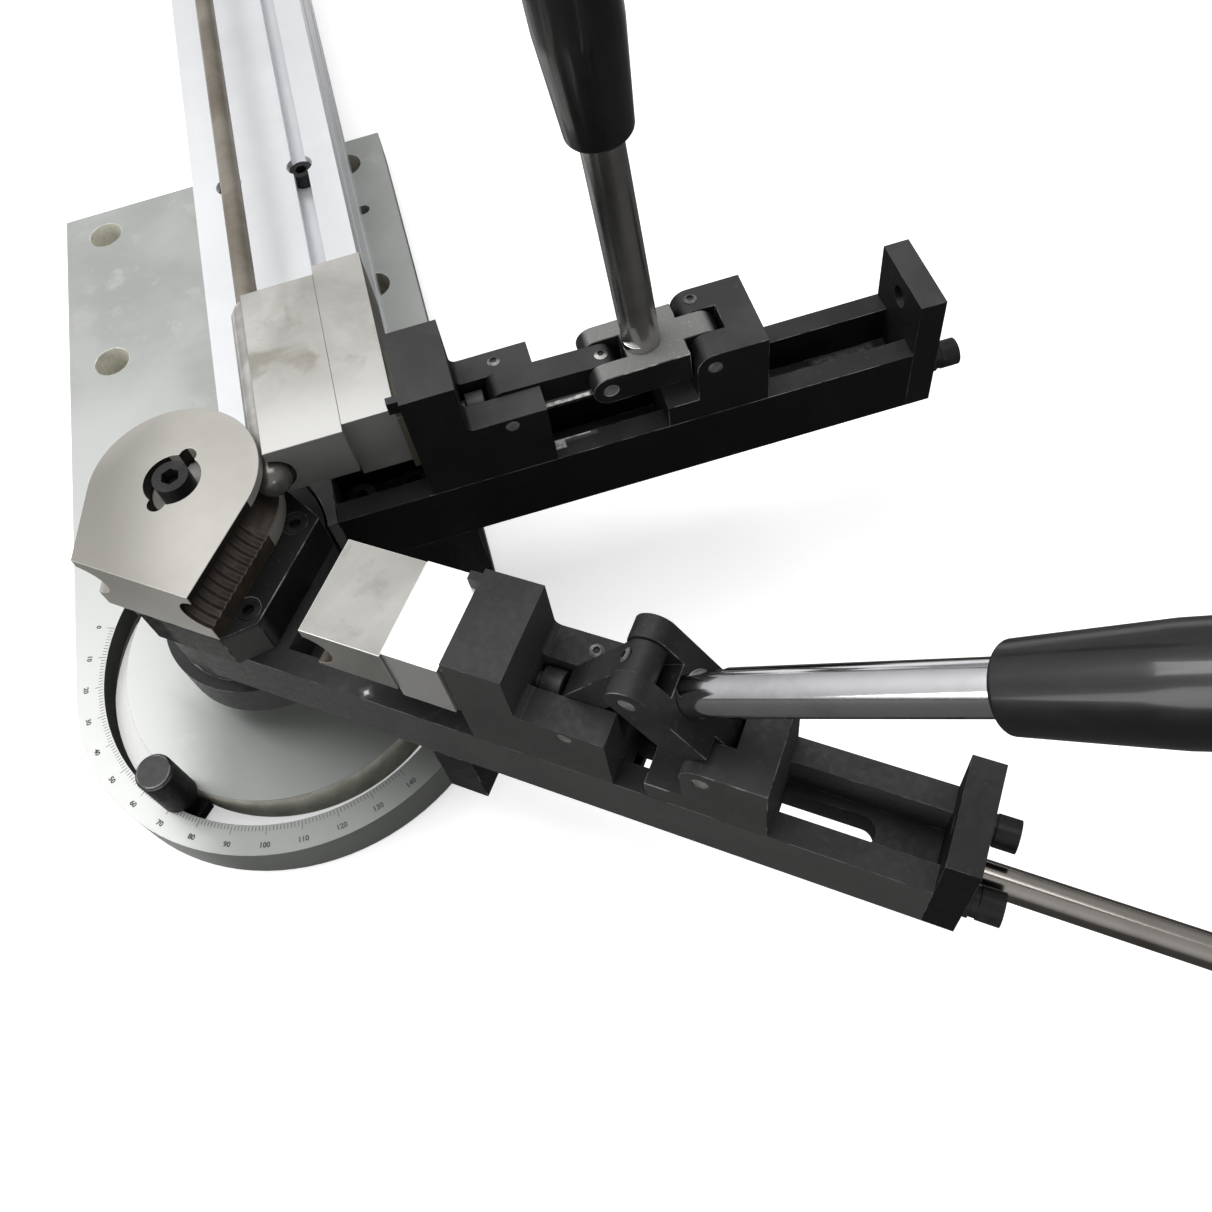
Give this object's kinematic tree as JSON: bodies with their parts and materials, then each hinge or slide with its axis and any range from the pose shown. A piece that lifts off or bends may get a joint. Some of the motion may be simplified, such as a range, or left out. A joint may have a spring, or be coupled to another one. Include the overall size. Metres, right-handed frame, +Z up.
{
  "type": "pipe bending machine",
  "caption": "Bench pipe bender: a grooved bend die on a swing arm, toggle lever clamps on swing and pressure arms, a slotted rail with a mandrel rod and an angle stop.",
  "frame": {"origin": "on the swing arm's pivot axis, at the base plate's underside", "axes": "+Z up along the pivot, +Y back along the rail, +X out along the fixed pressure arm"},
  "size_m": [0.5942, 1.1354, 0.36],
  "materials": {
    "ground_steel": "machined, slightly mottled",
    "rail_aluminium": "anodised, satin",
    "black_oxide": "black oxide, satin",
    "screws": "black oxide, oiled",
    "die_steel": "ground",
    "pin_steel": "turned",
    "bronze": "plain bearing bronze",
    "chrome_rod": "polished chrome",
    "mandrel_steel": "drawn, oiled",
    "grip_black": "glossy black"
  },
  "bodies": {
    "base": {"base_plate": "ground_steel", "rail": "rail_aluminium", "rail_screws": "screws", "pivot_post": "pin_steel", "thrust_washer": "bronze", "post_cap": "pin_steel", "post_screw": "screws", "pressure_arm": "black_oxide", "arm_root": "die_steel", "arm_riser": "black_oxide", "arm_screws": "screws", "pressure_end_plate": "black_oxide", "pressure_end_screws": "screws", "rod_support": "black_oxide", "rod_support_screws": "screws"},
    "swing": {"swing_arm": "black_oxide", "pivot_bush": "bronze", "stop_bracket": "black_oxide", "die_seat": "black_oxide", "seat_screws": "screws", "bend_die": "die_steel", "die_screw": "screws", "swing_end_plate": "black_oxide", "swing_end_screws": "screws", "pull_rod": "chrome_rod"},
    "angle_stop": {"angle_stop": "black_oxide", "stop_nut": "black_oxide"},
    "mandrel": {"mandrel_rod": "mandrel_steel", "mandrel_head": "mandrel_steel"},
    "pressure_adjuster": {"pressure_adjust_block": "black_oxide", "pressure_adjust_bolt": "screws", "pressure_rear_pin": "pin_steel"},
    "pressure_lever": {"pressure_yoke": "black_oxide", "pressure_lever": "chrome_rod", "pressure_grip": "grip_black"},
    "pressure_link": {"pressure_link": "black_oxide", "pressure_link_pin": "pin_steel"},
    "pressure_slide": {"pressure_holder": "black_oxide", "pressure_holder_pin": "pin_steel", "pressure_keeper": "black_oxide", "pressure_shim": "black_oxide", "pressure_backing": "die_steel", "pressure_die": "die_steel", "pressure_die_bolt": "screws"},
    "clamp_adjuster": {"clamp_adjust_block": "black_oxide", "clamp_adjust_bolt": "screws", "clamp_rear_pin": "pin_steel"},
    "clamp_lever": {"clamp_yoke": "black_oxide", "clamp_lever": "chrome_rod", "clamp_grip": "grip_black"},
    "clamp_link": {"clamp_link": "black_oxide", "clamp_link_pin": "pin_steel"},
    "clamp_slide": {"clamp_holder": "black_oxide", "clamp_holder_pin": "pin_steel", "clamp_keeper": "black_oxide", "clamp_shim": "black_oxide", "clamp_backing": "die_steel", "clamp_die": "die_steel", "clamp_die_bolt": "screws"}
  },
  "joints": [
    {"name": "swing_turn", "type": "hinge", "parent": "base", "child": "swing", "pos_m": [0, 0, 0], "axis": [0, 0, 1], "range_deg": [-57, 36.4]},
    {"name": "stop_turn", "type": "hinge", "parent": "base", "child": "angle_stop", "pos_m": [0, 0, 0], "axis": [0, 0, 1], "range_deg": [-75, 50]},
    {"name": "mandrel_slide", "type": "slide", "parent": "base", "child": "mandrel", "axis": [0, 1, 0], "range_m": [0, 0.06]},
    {"name": "pressure_adjust", "type": "slide", "parent": "base", "child": "pressure_adjuster", "axis": [1, 0, 0], "range_m": [-0.0005, 0.028]},
    {"name": "pressure_lever_turn", "type": "hinge", "parent": "pressure_adjuster", "child": "pressure_lever", "pos_m": [0.2204, 0.017, 0.1345], "axis": [0, 1, 0], "range_deg": [0, 57]},
    {"name": "pressure_link_turn", "type": "hinge", "parent": "pressure_lever", "child": "pressure_link", "pos_m": [0.17741, 0.017, 0.13337], "axis": [0, 1, 0], "range_deg": [-114, 0]},
    {"name": "pressure_slide_turn", "type": "hinge", "parent": "pressure_link", "child": "pressure_slide", "pos_m": [0.13443, 0.017, 0.1345], "axis": [0, 1, 0], "range_deg": [0, 57]},
    {"name": "clamp_adjust", "type": "slide", "parent": "swing", "child": "clamp_adjuster", "axis": [0.8049, -0.5934, 0], "range_m": [-0.0075, 0.028]},
    {"name": "clamp_lever_turn", "type": "hinge", "parent": "clamp_adjuster", "child": "clamp_lever", "pos_m": [0.17099, -0.15414, 0.1345], "axis": [0.5934, 0.8049, 0], "range_deg": [-57, 0]},
    {"name": "clamp_link_turn", "type": "hinge", "parent": "clamp_lever", "child": "clamp_link", "pos_m": [0.15139, -0.13969, 0.16994], "axis": [0.5934, 0.8049, 0], "range_deg": [0, 114]},
    {"name": "clamp_slide_turn", "type": "hinge", "parent": "clamp_link", "child": "clamp_slide", "pos_m": [0.13178, -0.12524, 0.1345], "axis": [0.5934, 0.8049, 0], "range_deg": [-57, 0]}
  ],
  "couplings": [
    {"joint": "pressure_link_turn", "follows": "pressure_lever_turn", "ratio": -2},
    {"joint": "pressure_slide_turn", "follows": "pressure_lever_turn", "ratio": 1},
    {"joint": "clamp_link_turn", "follows": "clamp_lever_turn", "ratio": -2},
    {"joint": "clamp_slide_turn", "follows": "clamp_lever_turn", "ratio": 1}
  ]
}
